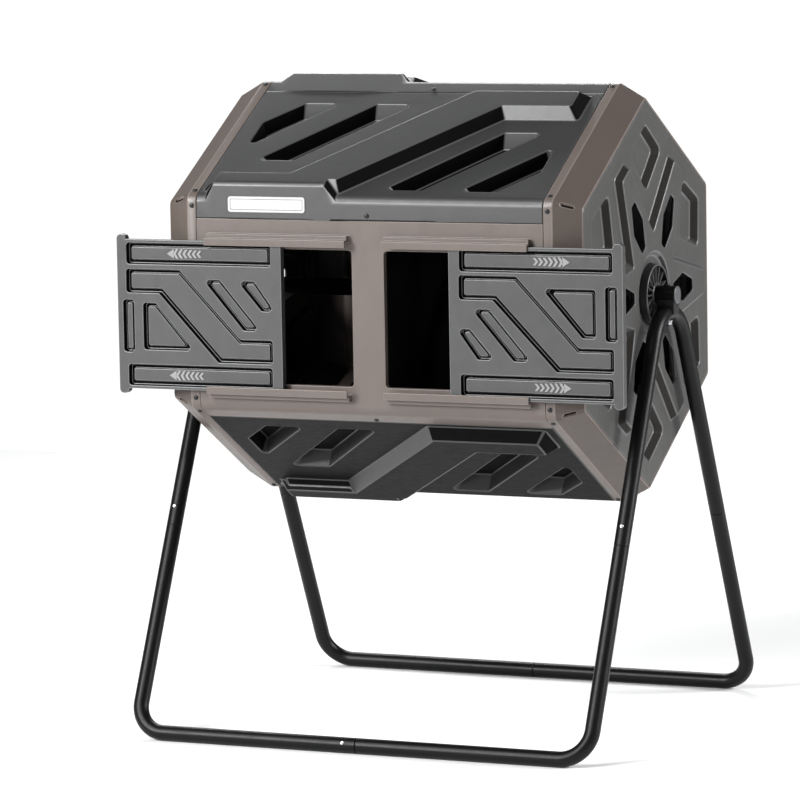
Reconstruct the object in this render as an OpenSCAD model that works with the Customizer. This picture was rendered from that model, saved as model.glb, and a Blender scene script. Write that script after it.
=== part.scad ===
// Dual-chamber compost tumbler: a six-sided barrel with two sliding doors,
// turning on a steel axle that is bolted to a tube stand.
// X runs along the axle, -Y is the door side, Z is up and 0 is the ground.

/* [Stand] */
// Outer diameter of the stand tubes
tube_d = 23; // [21:0.5:25]
// Wall thickness of the stand tubes
tube_wall = 1.5; // [1.2:0.1:2]
// Distance from the middle of the barrel to each pair of legs
leg_x = 360; // [358:1:380]
// Distance from the axle line to the bottom rails, front and back
rail_y = 336; // [320:2:360]
// Height above the rails at which the two leg lines of a side would cross
leg_cross_h = 695; // [680:5:720]
// Bend radius of the tube at the top of each side
apex_bend_r = 67; // [60:1:75]
// Bend radius between a leg and its bottom rail
corner_bend_r = 45; // [40:1:60]
// Height above the rails at which the lower tubes plug into the upper ones
leg_joint_h = 287; // [260:1:310]

/* [Axle] */
// Outer diameter of the axle tube
axle_d = 26; // [24:0.5:28]
// Half of the axle's length
axle_half = 374; // [372:1:385]
// Radial clearance between the axle and the hubs that turn on it
axle_clearance = 0.1; // [0.05:0.01:0.1]

/* [Barrel] */
// Radius of the hexagon over its corners
hex_r = 312; // [305:1:315]
// Half of the length of the six side panels
panel_half = 275; // [270:1:276]
// Thickness of every moulded wall
wall = 3; // [2.5:0.1:3.5]
// How far each panel's lip reaches over its neighbour
lip = 32; // [28:1:34]
// Outside radius of the moulded corners
corner_r = 18; // [14:1:18]
// Height of the raised band on the side panels
raise = 18; // [12:1:18]
// Depth of the pockets in the side panels
pocket_depth = 24; // [15:1:24]

/* [Ends] */
// Where the end rings stop being flush with the panels
flange_x = 289; // [288:1:292]
// Where the end panels' outer faces lie
end_x = 328; // [326:1:330]
// Radius of the end panel's hexagon over its corners
end_r = 289; // [285:1:292]
// Height of the six-armed star on the end panels
star_h = 11; // [8:1:12]
// Depth of the kite-shaped pockets in the end panels
kite_depth = 12; // [8:1:14]

/* [Doors] */
// Height of the door centre above the axle
door_c = -19; // [-20:1:-18]
// Height of a door's sliding plate
door_h = 221; // [220:0.5:222]
// Length of a door
door_w = 268; // [266:1:269]
// Depth of a door's moulded plate
door_t = 12.4; // [12:0.1:12.8]
// Distance of a closed door's inner edge from the middle of the barrel
door_closed_x = 15; // [14:1:16]
// How far each door stands open
door_open = 118; // [0:1:186]

/* [Hidden] */
$fn = 48;
eps = 0.01;
side = hex_r;
apothem = hex_r * cos(30);
gap = 0.3;
leg_a = atan(rail_y / leg_cross_h);
tube_r = tube_d / 2;
bore_r = tube_r - tube_wall;
leg_thin = 0.05;
plug_r = bore_r - 0.1;
plug_l = 42;
button_up = 29;
rail_button = 20;
rail_gap = 1.2;
cross_z = tube_r + leg_cross_h;
apex_z = cross_z - apex_bend_r * (1 / sin(leg_a) - 1);
saddle_t = 1.5;
axle_r = axle_d / 2;
axis_z = apex_z + tube_r + saddle_t + axle_r;
lip_v = side / 2 - lip;
top_v = lip_v - 0.5;
tongue_half = 254;
pattern_v = -20.5;
band_slope = 46;
band_draft = 6.75;
edge_r = 10;
lip_proud = 0.5;
bolt_r = 3;
door_back = apothem + 1;
door_front = door_back + door_t;

// ---------- helpers ----------

// A point of the barrel's cross-section as [y, z] from the axle line. The face
// is named by its normal's angle from -Y, v runs along it and w out of it.
function face_pt(th, v, w) = [
    -(apothem + w) * cos(th) + v * sin(th),
    (apothem + w) * sin(th) + v * cos(th)
];

// Rounded corner between face th - 60 at height low and face th at height high,
// about the centre for radius r.
function corner_arc(th, high, low, r, rr) = [
    for (k = [0:4])
        let (phi = th - 60 + 15 * k)
            face_pt(th, ((high + r - apothem) / 2 - low) / cos(30), high - r)
                + rr * [-cos(phi), sin(phi)]
];

function reversed(pts) = [for (i = [len(pts) - 1:-1:0]) pts[i]];

// Puts a shape drawn flat on one face of the barrel.
module on_face(th) {
    translate([0, 0, axis_z]) rotate([90 - th, 0, 0]) translate([0, 0, apothem]) children();
}

// Extrudes a [y, z] outline from x0 to x1, measured from the axle line.
module along_x(x0, x1) {
    translate([x0, 0, axis_z]) rotate([90, 0, 90]) linear_extrude(x1 - x0) children();
}

// Mirrors the right-hand shape to the left end.
module left_side() {
    mirror([1, 0, 0]) children();
}

// A cylinder along X, centred on the axle line.
module x_cylinder(x0, x1, r) {
    translate([x0, 0, axis_z]) rotate([0, 90, 0]) cylinder(h = x1 - x0, r = r);
}

// ---------- stand ----------

// An upper tube as a solid bar whose centre line lies in the plane X = 0. The
// legs are a hair thinner than the bend and start just inside it.
module apex_solid(r, extra = 0) {
    arc_c = apex_z - apex_bend_r;
    half = 90 - leg_a;
    lap = 1.5;
    translate([0, 0, arc_c]) rotate([90, 0, 90]) rotate([0, 0, 90 - half])
        rotate_extrude(angle = 2 * half) translate([apex_bend_r, 0]) circle(r);
    for (s = [-1, 1])
        translate([0, 0, arc_c]) rotate([-s * half, 0, 0])
            translate([0, -s * lap, apex_bend_r]) rotate([-s * 90, 0, 0])
                cylinder(h = upper_leg_l() + lap + extra, r = r - leg_thin);
}

// Length of the straight part of an upper tube.
function upper_leg_l() =
    (apex_z - apex_bend_r * (1 - sin(leg_a)) - tube_r - leg_joint_h) / cos(leg_a);

module button_hole(r) {
    for (s = [-1, 1])
        translate([0, s * (leg_cross_h - leg_joint_h) * tan(leg_a), tube_r + leg_joint_h])
            rotate([s * leg_a, 0, 0]) translate([0, 0, button_up])
                rotate([-s * 90, 0, 0]) cylinder(h = tube_d, r = r);
}

module upper_tube() {
    color("#1c1c1d") translate([leg_x, 0, 0]) difference() {
        apex_solid(tube_r);
        apex_solid(bore_r, 2);
        button_hole(3.2);
        translate([0, 0, apex_z - tube_d]) cylinder(h = 2 * tube_d, r = bolt_r + 0.2);
    }
}

// A lower tube in its own plane: the rail runs along +X, the leg along +Y.
module elbow(r, rail_l, leg_l) {
    translate([corner_bend_r, corner_bend_r, 0]) rotate([0, 0, 180])
        rotate_extrude(angle = 90) translate([corner_bend_r, 0]) circle(r);
    translate([corner_bend_r, 0, 0]) rotate([0, 90, 0])
        cylinder(h = rail_l - corner_bend_r, r = r);
    translate([0, corner_bend_r, 0]) rotate([-90, 0, 0])
        cylinder(h = leg_l - corner_bend_r, r = r);
}

module lower_tube(plug) {
    leg_l = leg_joint_h / cos(leg_a) - 0.2;
    rail_l = leg_x - rail_gap / 2;
    color("#1c1c1d") translate([-leg_x, -rail_y, tube_r]) rotate([90 - leg_a, 0, 0])
        difference() {
            union() {
                elbow(tube_r, rail_l, leg_l);
                translate([0, leg_l - 20, 0]) rotate([-90, 0, 0])
                    cylinder(h = plug_l + 20, r = plug_r);
                if (plug)
                    translate([rail_l - 20, 0, 0]) rotate([0, 90, 0])
                        cylinder(h = plug_l + 20, r = plug_r);
            }
            elbow(bore_r, rail_l + (plug ? -22 : 1), leg_l - 22);
            translate([0, leg_l - 23, 0]) rotate([-90, 0, 0])
                cylinder(h = plug_l + 30, r = plug_r - 1.5);
            if (plug)
                translate([rail_l - 23, 0, 0]) rotate([0, 90, 0])
                    cylinder(h = plug_l + 30, r = plug_r - 1.5);
            translate([0, leg_l + button_up, 0])
                cylinder(h = tube_d, r = 3.2);
            translate([leg_x + (plug ? rail_button : -rail_button), 0, 0])
                cylinder(h = tube_d, r = 3.2);
        }
}

module button(h) {
    cylinder(h = h - 1, r = 3);
    translate([0, 0, h - 1 - eps]) cylinder(h = 1 + eps, r1 = 3, r2 = 2);
    cylinder(h = 3, r = 4.5);
}

module spring_buttons() {
    color("#3a3a3b") {
        for (sx = [-1, 1], s = [-1, 1])
            translate([sx * leg_x, s * (leg_cross_h - leg_joint_h) * tan(leg_a),
                tube_r + leg_joint_h])
                rotate([s * leg_a, 0, 0]) translate([0, 0, button_up - 0.2])
                    rotate([-s * 90, 0, 0]) translate([0, 0, 4]) button(tube_r - 2.5);
        for (s = [-1, 1])
            translate([-rail_button, s * rail_y, tube_r])
                rotate([s * (leg_a - 90), 0, 0]) translate([0, 0, 4]) button(tube_r - 2.5);
    }
}

// ---------- axle ----------

module axle_tube() {
    color("#1f1f20") difference() {
        x_cylinder(-axle_half, axle_half, axle_r);
        x_cylinder(-axle_half - 1, axle_half + 1, axle_r - 2);
        for (s = [-1, 1])
            translate([s * leg_x, 0, axis_z]) cylinder(h = 2 * axle_d, r = bolt_r + 0.2, center = true);
    }
}

module axle_cap() {
    color("#8e9092") {
        x_cylinder(axle_half - 8, axle_half + 1, axle_r - 2.05);
        x_cylinder(axle_half + 0.05, axle_half + 2, axle_r);
    }
}

// A moulded cradle that sits on the bend and holds the axle.
module saddle() {
    color("#161617") difference() {
        translate([leg_x - 13, -11, apex_z - 2]) cube([26, 22, axis_z - apex_z]);
        x_cylinder(leg_x - 20, leg_x + 20, axle_r + 0.05);
        translate([leg_x, 0, 0]) apex_solid(tube_r + 0.05);
        translate([leg_x, 0, apex_z]) cylinder(h = 2 * tube_d, r = bolt_r + 0.2);
    }
}

module axle_bolts() {
    head_z = axis_z + axle_r + 0.1;
    low_z = apex_z - tube_r - 9;
    color("#2a2a2b") for (s = [-1, 1]) translate([s * leg_x, 0, 0]) {
        translate([0, 0, low_z]) cylinder(h = head_z - low_z + eps, r = bolt_r);
        translate([0, 0, head_z]) cylinder(h = 2, r = 5.5);
    }
}

module axle_nuts() {
    color("#b9bbbd") for (s = [-1, 1])
        translate([s * leg_x, 0, apex_z - tube_r - 6.6]) difference() {
            union() {
                cylinder(h = 5, r = 5.6, $fn = 6);
                translate([0, 0, 4.5]) cylinder(h = 1.5, r = 7);
            }
            translate([0, 0, -1]) cylinder(h = 9, r = bolt_r + 0.05);
        }
}

// ---------- side panels ----------

// Plain shell: a plate on face th and a lip over the next face.
module shell_section(th) {
    inner_v = -(apothem - wall) * tan(30);
    polygon(concat(
        [face_pt(th - 60, lip_v, 0)],
        corner_arc(th, 0, 0, corner_r, corner_r),
        [face_pt(th, top_v, 0), face_pt(th, top_v, -wall)],
        reversed(corner_arc(th, 0, 0, corner_r, corner_r - wall)),
        [face_pt(th - 60, lip_v, -wall)]
    ));
}

// Stepped tongue that runs under the neighbour's lip.
module tongue_section(th) {
    low = -2 * wall - gap;
    polygon([
        face_pt(th, top_v - wall, 0), face_pt(th, top_v, 0),
        face_pt(th, top_v, -wall - gap), face_pt(th, side / 2 - 9, -wall - gap),
        face_pt(th, side / 2 - 9, low), face_pt(th, top_v - wall, low)
    ]);
}

// The raised band in the face's own plane: low left, a diagonal, high right.
// The moulded walls slope, so the outline is taken half way up them.
module band_outline() {
    x_top = 132.5 / tan(band_slope);
    x_mid = 94.5 / tan(band_slope);
    half = 46;
    low = -102;
    translate([-0.6, pattern_v - 9.8]) polygon([
        [-246, low], [half + low / tan(band_slope), low], [half + x_mid, 94.5],
        [247, 94.5], [247, 132.5], [x_top - half, 132.5],
        [-x_mid - half, -94.5], [-240, -94.5]
    ]);
}

module band_block(d) {
    extra = d > 0 ? 1 : 0;
    translate([0, 0, -wall - extra])
        linear_extrude(wall + raise - d + extra) offset(delta = band_draft - d) band_outline();
}

// The low end of the band, which runs out over the corner to the face of the lip.
module lip_block(th, d) {
    extra = d > 0 ? 1 : 0;
    join_v = -118;
    deep = -wall - extra;
    along_x(-253 + d, -62 - d) polygon(concat(
        [face_pt(th - 60, lip_v + d, deep), face_pt(th - 60, lip_v + d, lip_proud - d)],
        corner_arc(th, raise, lip_proud, edge_r, edge_r - d),
        [face_pt(th, join_v, raise - d), face_pt(th, join_v, deep)],
        [face_pt(th, -(apothem + deep) * tan(30), deep)]
    ));
}

module pocket_short() {
    polygon([[-246, -3], [-136, 113], [-195, 113], [-246, 61]]);
}

module pocket_long() {
    polygon([[-217, -39], [-155, -39], [-17, 112], [-78, 112]]);
}

// The four pockets, the second pair turned half round from the first.
module pockets(d, depth) {
    for (a = [0, 180]) translate([0, pattern_v, -depth]) rotate([0, 0, a]) {
        linear_extrude(depth + (d > 0 ? -eps : 1)) offset(delta = d) pocket_short();
        linear_extrude(depth + (d > 0 ? -eps : 1)) offset(delta = d) pocket_long();
    }
}

// Hole for the screw in the middle of a lip, and for the one that pins the tongue.
module screw_holes(th) {
    for (f = [th - 60, th])
        on_face(f) translate([0, lip_v + 7, -20]) cylinder(h = 30, r = 1.9);
}

module relief_panel(th) {
    color("#4a4a4b") difference() {
        union() {
            along_x(-panel_half, panel_half) shell_section(th);
            along_x(-tongue_half, tongue_half) tongue_section(th);
            on_face(th) band_block(0);
            lip_block(th, 0);
            on_face(th) pockets(wall, pocket_depth + wall);
        }
        on_face(th) band_block(wall);
        lip_block(th, wall);
        on_face(th) pockets(0, pocket_depth);
        screw_holes(th);
    }
}

// ---------- front panel ----------

module rounded_rect(x0, x1, y0, y1, r) {
    translate([x0 + r, y0 + r]) square([x1 - x0 - 2 * r, y1 - y0 - 2 * r]);
    translate([x0 + r, y0]) square([x1 - x0 - 2 * r, y1 - y0]);
    translate([x0, y0 + r]) square([x1 - x0, y1 - y0 - 2 * r]);
    for (x = [x0 + r, x1 - r], y = [y0 + r, y1 - r])
        translate([x, y]) circle(r, $fn = 24);
}

module door_openings(d) {
    for (s = [0, 1]) mirror([s, 0])
        rounded_rect(26 - d, 250 + d, door_c - 99 - d, door_c + 99 + d, 5 + d);
}

// Guide rail: a stepped channel whose open side faces the door.
module guide_section() {
    top = door_h / 2 + 0.8;
    groove = -door_front - 0.7;
    polygon([
        [-apothem + eps, 121], [-apothem - 9, 121], [-apothem - 9, 115],
        [groove - 3, 115], [groove - 3, 104], [groove, 104],
        [groove, top], [-apothem + eps, top]
    ]);
}

module front_panel() {
    color("#8b7d74") difference() {
        union() {
            along_x(-panel_half, panel_half) shell_section(0);
            along_x(-tongue_half, tongue_half) tongue_section(0);
            on_face(0) translate([0, 0, -10]) linear_extrude(9) door_openings(wall);
            for (s = [0, 1], m = [0, 1])
                mirror([s, 0, 0]) along_x(29, 256) translate([0, door_c]) mirror([0, m])
                    guide_section();
        }
        on_face(0) translate([0, 0, -20]) linear_extrude(30) door_openings(0);
        screw_holes(0);
    }
}

// A blank plate on the raised part of the upper lip.
module name_plate() {
    color("#e9e9e7") on_face(0) translate([0, 0, lip_proud + 0.05]) difference() {
        linear_extrude(1.6) rounded_rect(-222, -98, 133.5, 156.5, 4);
        translate([0, 0, 1.2]) linear_extrude(1) rounded_rect(-219.5, -100.5, 136, 154, 3);
    }
}

// ---------- ends ----------

// A hexagon with a corner at the top, drawn over its corners.
module hex_outline(r) {
    rotate([0, 0, 90]) circle(r, $fn = 6);
}

function over_corner(w) = (apothem + w) / cos(30);

module ring_profile() {
    flush = over_corner(0);
    under = over_corner(-wall);
    low_out = over_corner(-wall - gap);
    low_in = over_corner(-2 * wall - gap);
    polygon([
        [flush, panel_half + 0.5], [flush, flange_x], [end_r, end_x],
        [end_r - 3.4, end_x], [end_r - 3.4, end_x - wall],
        [end_r - 28, end_x - wall], [end_r - 28, end_x - 2 * wall],
        [end_r - 1.5, end_x - 2 * wall], [under, flange_x - 1],
        [under, panel_half + 3.5], [low_in, panel_half + 3.5],
        [low_in, 258], [low_out, 258], [low_out, panel_half + 0.5]
    ]);
}

module end_ring() {
    color("#8b7d74") difference() {
        translate([0, 0, axis_z]) rotate([0, 90, 0])
            rotate_extrude($fn = 6) ring_profile();
        for (a = [0:60:300]) translate([0, 0, axis_z]) rotate([a, 0, 0])
            translate([299, -2, hex_r - 30]) cube([17, 4, 40]);
        ring_screw_places() translate([0, 0, -20]) cylinder(h = 30, r = 1.9);
        difference() {
            x_cylinder(250, panel_half + 0.5, hex_r + 10);
            x_cylinder(249, panel_half + 1, hex_r - 7);
        }
    }
}

module ring_screw_places() {
    for (th = [0:60:300], v = [-142, 142])
        on_face(th) translate([282, v, 0]) children();
}

// Arms point at the middle of each side; between them lie the corners.
module star_outline() {
    for (a = [0:60:300]) rotate([0, 0, a])
        polygon([[0, 0], [47.5, 82.3], [20, 214], [-20, 214], [-47.5, 82.3]]);
}

module vent_outline() {
    for (a = [0:60:300]) rotate([0, 0, a])
        polygon([[-8, 78], [8, 78], [21, 119], [8, 159], [-8, 159], [-21, 119]]);
}

module kite_outline() {
    for (a = [0:60:300]) rotate([0, 0, a])
        rotate([0, 0, 30]) polygon([[0, 250], [62, 212], [60, 205], [0, 150], [-60, 205], [-62, 212]]);
}

// Turns a [y, z]-like outline, whose +Y is the top, to face +X.
module end_shape(x0, x1) {
    along_x(x0, x1) children();
}

module end_panel() {
    outer = end_x + star_h;
    color("#4a4a4b") {
        difference() {
            union() {
                end_shape(end_x - wall + 0.05, end_x) hex_outline(end_r - 3.6);
                end_shape(end_x - wall + 0.05, outer) rotate([0, 0, 30]) star_outline();
                end_shape(end_x - kite_depth - wall, end_x) offset(delta = wall)
                    rotate([0, 0, 30]) kite_outline();
            }
            end_shape(end_x - wall - 1, outer - wall) rotate([0, 0, 30]) offset(delta = -wall)
                star_outline();
            end_shape(end_x - kite_depth, outer) rotate([0, 0, 30]) kite_outline();
            end_shape(end_x - 20, outer + 1) rotate([0, 0, 30]) vent_outline();
            x_cylinder(end_x - 20, outer + 1, 65);
        }
        difference() {
            x_cylinder(end_x + 2, outer - 1, 67);
            x_cylinder(end_x + 5, outer, 64);
            x_cylinder(end_x, end_x + 6, 45.5);
        }
    }
}

// Hub: an outer rim, ribs and a bush that turns on the axle.
module hub() {
    face_x = end_x + star_h + 6;
    color("#232324") difference() {
        union() {
            x_cylinder(end_x - 18, face_x - 1, axle_r + 4.5);
            difference() {
                x_cylinder(end_x - 7, face_x, 45);
                x_cylinder(end_x - 2, face_x + 1, 42);
            }
            x_cylinder(end_x - 7, end_x - wall - 0.05, 56);
            for (a = [0:22.5:337.5]) translate([0, 0, axis_z]) rotate([a, 0, 0])
                translate([end_x - 3, -1, 15]) cube([face_x - end_x + 1, 2, 28]);
        }
        x_cylinder(end_x - 30, face_x + 1, axle_r + axle_clearance);
    }
}

module divider_panel() {
    color("#3a3a3b") difference() {
        intersection() {
            along_x(-2, 2) hex_outline((apothem - wall - 0.1) / cos(30));
            x_cylinder(-2, 2, 289);
        }
        x_cylinder(-3, 3, axle_r + 2);
    }
}

// ---------- fasteners ----------

module pan_screw() {
    cylinder(h = 1.2, r = 3.6);
    translate([0, 0, 1.2 - eps]) cylinder(h = 0.8, r1 = 3.6, r2 = 2.4);
    translate([0, 0, -9]) cylinder(h = 9 + eps, r = 1.8);
}

module lip_screws() {
    color("#1a1a1b") for (th = [0:60:300])
        on_face(th) translate([0, lip_v + 7, 0.02]) pan_screw();
}

module ring_screws() {
    color("#1a1a1b") ring_screw_places() translate([0, 0, 0.02]) pan_screw();
}

// ---------- doors ----------

// Door outline features, drawn from the inner edge outwards.
module door_pockets() {
    for (s = [-1, 1]) translate([0, s * 90]) rounded_rect(17, 252, -15.5, 15.5, 6);
    polygon([
        [253, 66.5], [166, 66.5], [68.5, -34], [16, -34],
        [16, -68.5], [104, -68.5], [199.5, 32], [253, 32]
    ]);
    rounded_rect(241.5, 259, -56, 21, 5);
    polygon([[226, 17], [206, 17], [148, -49], [148, -52], [226, -52]]);
    polygon([[126, 53], [100, 53], [36, -20], [62, -20]]);
    polygon([[70, 52], [44, 52], [12, 9], [32, 9]]);
}

// A door seen from the front, with its inner edge at X = 0 and centred in Z.
module door_body() {
    skin = 2.5;
    floor_depth = 6.5;
    grip_w = 15;
    difference() {
        union() {
            translate([0, -door_front, -door_h / 2]) cube([door_w, door_t, door_h]);
            translate([door_w - grip_w, -door_front, -118]) cube([grip_w, door_t, 236]);
        }
        translate([0, -door_front + floor_depth, 0]) rotate([90, 0, 0])
            linear_extrude(floor_depth + 1) door_pockets();
        translate([0, -door_back + eps, 0]) rotate([90, 0, 0]) {
            linear_extrude(door_t - floor_depth - skin) door_cavity(skin);
            linear_extrude(door_t - skin) difference() {
                door_cavity(skin);
                offset(delta = skin) door_pockets();
            }
        }
    }
}

module door_cavity(skin) {
    translate([skin, skin - door_h / 2]) square([door_w - 2 * skin, door_h - 2 * skin]);
}

module right_door() {
    color("#58595a")
        translate([door_closed_x + door_open, 0, axis_z + door_c])
            mirror([0, 0, 1]) door_body();
}

module left_door() {
    color("#58595a")
        translate([-door_closed_x - door_open, 0, axis_z + door_c])
            mirror([1, 0, 0]) door_body();
}

// ---------- what is drawn ----------

left_side() upper_tube();  // left_upper_tube
upper_tube();  // right_upper_tube
lower_tube(false);  // front_left_tube
left_side() lower_tube(true);  // front_right_tube
mirror([0, 1, 0]) lower_tube(false);  // back_left_tube
left_side() mirror([0, 1, 0]) lower_tube(true);  // back_right_tube
spring_buttons();
axle_tube();
left_side() axle_cap();  // left_axle_cap
axle_cap();  // right_axle_cap
left_side() saddle();  // left_saddle
saddle();  // right_saddle
axle_bolts();
axle_nuts();
front_panel();
relief_panel(60);  // upper_front_panel
relief_panel(120);  // upper_back_panel
relief_panel(180);  // back_panel
relief_panel(240);  // lower_back_panel
relief_panel(300);  // lower_front_panel
left_side() end_ring();  // left_end_ring
end_ring();  // right_end_ring
left_side() end_panel();  // left_end_panel
end_panel();  // right_end_panel
left_side() hub();  // left_hub
hub();  // right_hub
divider_panel();
name_plate();
lip_screws();
left_side() ring_screws();  // left_ring_screws
ring_screws();  // right_ring_screws
left_door();
right_door();
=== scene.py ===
"""The looks of the compost tumbler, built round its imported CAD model.

Outlines are in millimetres: on a face of the barrel u runs along X, v along the face
and w out of it. Meshes are turned to metres when their object is made.
"""

import math

import bmesh
import bpy
from mathutils import Matrix, Vector


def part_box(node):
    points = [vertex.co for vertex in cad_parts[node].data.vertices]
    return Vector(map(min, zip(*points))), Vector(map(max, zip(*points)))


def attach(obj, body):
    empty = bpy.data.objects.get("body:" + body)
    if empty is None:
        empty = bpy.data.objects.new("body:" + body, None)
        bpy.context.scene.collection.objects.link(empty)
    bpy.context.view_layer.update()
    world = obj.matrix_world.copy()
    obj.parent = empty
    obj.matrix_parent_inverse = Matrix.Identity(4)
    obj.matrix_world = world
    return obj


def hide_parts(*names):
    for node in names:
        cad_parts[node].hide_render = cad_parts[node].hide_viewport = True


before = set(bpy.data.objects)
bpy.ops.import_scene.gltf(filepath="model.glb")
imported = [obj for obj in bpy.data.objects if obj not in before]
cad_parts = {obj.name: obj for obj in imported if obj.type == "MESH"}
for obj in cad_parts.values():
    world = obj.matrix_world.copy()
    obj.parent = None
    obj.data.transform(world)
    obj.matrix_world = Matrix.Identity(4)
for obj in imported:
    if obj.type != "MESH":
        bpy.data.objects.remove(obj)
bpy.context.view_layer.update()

MM = 0.001
axle_lo, axle_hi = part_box("axle_tube")
AXIS = (axle_lo.z + axle_hi.z) / 2 / MM  # height of the axle
AXLE_R = (axle_hi.z - axle_lo.z) / 2 / MM
COS30 = math.cos(math.radians(30))
HEX_R = 312.0  # the barrel's section, to its sharp corners
APO = HEX_R * COS30  # and to its flats
WALL = 3.0
LIP_V = HEX_R / 2 - 32  # a panel runs from here on the face before its own
TOP_V = LIP_V - 0.5  # to here on its own face
CORNER_R = 18.0
RAISE = 18.0  # height of the raised band
PANEL_HALF = 275.0
FLANGE_X = 289.0  # where the end ring's strip meets its bevel
END_X = 328.0  # the end panel's outer face
END_R = 289.0
DOOR_C = -19.0  # v of the doors' middle line
DOOR_REST_X = -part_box("left_door")[1].x / MM
DOOR_FRONT = 13.4
DOOR_BACK = 1.0
PATTERN_V = -20.5  # v of the relief's middle
SLOPE = math.tan(math.radians(46))  # of the band's slanting part
# A moulding's second material is its painted highlight for rounded edges and lit walls (the name
# plate's is its printed line); the third is its painted shade for walls and hollows.
BASE, EDGE, PAINTED_SHADE, EXTRA = range(4)  # the order of a moulding's materials


# ---------- outlines ----------


def ccw(pts):
    pts = [Vector(p) for p in pts]
    area = sum(a.x * b.y - b.x * a.y for a, b in zip(pts, pts[1:] + pts[:1]))
    return pts if area > 0 else pts[::-1]


def grown(pts, d):
    """The outline moved outwards by d, a distance or a function of an edge's normal."""
    pts = ccw(pts)
    n = len(pts)
    edges = [(pts[(i + 1) % n] - pts[i]).normalized() for i in range(n)]
    out = [Vector((e.y, -e.x)) for e in edges]
    step = d if callable(d) else (lambda normal: d)
    made = []
    for i in range(n):
        n1, n2 = out[i - 1], out[i]
        d1, d2 = step(n1), step(n2)
        det = n1.x * n2.y - n1.y * n2.x
        if abs(det) < 1e-6:
            made.append(pts[i] + n1 * d1)
            continue
        made.append(
            pts[i] + Vector((d1 * n2.y - d2 * n1.y, d2 * n1.x - d1 * n2.x)) / det
        )
    return made


def rounded(pts, r, seg=4):
    """The outline with every corner rounded."""
    pts = ccw(pts)
    n = len(pts)
    made = []
    for i in range(n):
        a, p, b = pts[i - 1], pts[i], pts[(i + 1) % n]
        e1, e2 = (p - a).normalized(), (b - p).normalized()
        turn = math.atan2(e1.x * e2.y - e1.y * e2.x, e1.dot(e2))
        half = math.tan(abs(turn) / 2)
        t = min(r * half, 0.47 * (p - a).length, 0.47 * (b - p).length)
        rr = t / half if half > 1e-6 else 0
        side = 1 if turn > 0 else -1
        normal = Vector((-e1.y, e1.x)) * side
        centre = p - e1 * t + normal * rr
        arm = -normal
        for k in range(seg + 1):
            c, s = math.cos(turn * k / seg), math.sin(turn * k / seg)
            made.append(centre + rr * Vector((arm.x * c - arm.y * s, arm.x * s + arm.y * c)))
    return made


def rect(x0, x1, y0, y1):
    return [(x0, y0), (x1, y0), (x1, y1), (x0, y1)]


def turned(pts, degrees):
    c, s = math.cos(math.radians(degrees)), math.sin(math.radians(degrees))
    return [Vector((p[0] * c - p[1] * s, p[0] * s + p[1] * c)) for p in pts]


def turns(seg):
    return [2 * math.pi * k / seg for k in range(seg)]


# ---------- solids ----------


class Shape:
    """A heap of closed shells: vertices, faces and a material index for each face."""

    def __init__(self):
        self.v, self.f, self.m = [], [], []

    def loft(self, rings, mat=0, closed=False):
        """Rings of equal length. Open lofts get a cap at each end."""
        base, n = len(self.v), len(rings[0])
        for ring in rings:
            self.v.extend(Vector(p) for p in ring)
        count = len(rings)
        faces = []
        for k in range(count if closed else count - 1):
            a, b = base + k * n, base + ((k + 1) % count) * n
            for i in range(n):
                j = (i + 1) % n
                faces.append([a + i, a + j, b + j, b + i])
        if not closed:
            faces.append([base + i for i in range(n)][::-1])
            faces.append([base + (count - 1) * n + i for i in range(n)])
        self.f.extend(faces)
        self.m.extend([mat] * len(faces))
        return self

    def prism(self, levels, mat=0):
        """Outlines stacked in w: levels is a list of (outline, w), lowest first."""
        return self.loft([[(p[0], p[1], w) for p in pts] for pts, w in levels], mat)

    def block(self, outline, w0, w1, mat=0):
        """One outline, straight from w0 to w1."""
        return self.prism([(outline, w0), (outline, w1)], mat)

    def bar(self, section, u0, u1):
        """A (v, w) section drawn out along u."""
        pts = ccw(section)
        return self.loft([[(u, p.x, p.y) for p in pts] for u in (u0, u1)])

    def lathe(self, profile, seg=64):
        """A closed (x, r) profile turned about X."""
        rings = [[(x, r * math.sin(a), r * math.cos(a)) for x, r in profile] for a in turns(seg)]
        return self.loft(rings, closed=True)


def link(name, data):
    """A new object in the scene."""
    obj = bpy.data.objects.new(name, data)
    bpy.context.scene.collection.objects.link(obj)
    return obj


def build(name, shape, materials):
    mesh = bpy.data.meshes.new(name)
    mesh.from_pydata([v * MM for v in shape.v], [], shape.f)
    for m in materials:
        mesh.materials.append(m)
    mesh.polygons.foreach_set("material_index", shape.m)
    bm = bmesh.new()
    bm.from_mesh(mesh)
    bmesh.ops.remove_doubles(bm, verts=bm.verts, dist=1e-7)
    bmesh.ops.recalc_face_normals(bm, faces=bm.faces)
    bm.to_mesh(mesh)
    bm.free()
    return link(name, mesh)


def settle(obj):
    """Applies the modifiers."""
    dg = bpy.context.evaluated_depsgraph_get()
    mesh = bpy.data.meshes.new_from_object(obj.evaluated_get(dg))
    obj.modifiers.clear()
    old = obj.data
    obj.data = mesh
    mesh.name = obj.name
    bpy.data.meshes.remove(old)


def combine(obj, other, operation, crossing=False):
    """Joins another object to this one, or cuts it out, and removes the other."""
    m = obj.modifiers.new("b", "BOOLEAN")
    m.object = other
    m.operation = operation
    m.solver = "EXACT"
    m.material_mode = "INDEX"
    m.use_self = crossing
    settle(obj)
    mesh = other.data
    bpy.data.objects.remove(other)
    bpy.data.meshes.remove(mesh)


def boolean(obj, shape, operation, materials, crossing=False):
    combine(obj, build("tool", shape, materials), operation, crossing)


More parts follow.
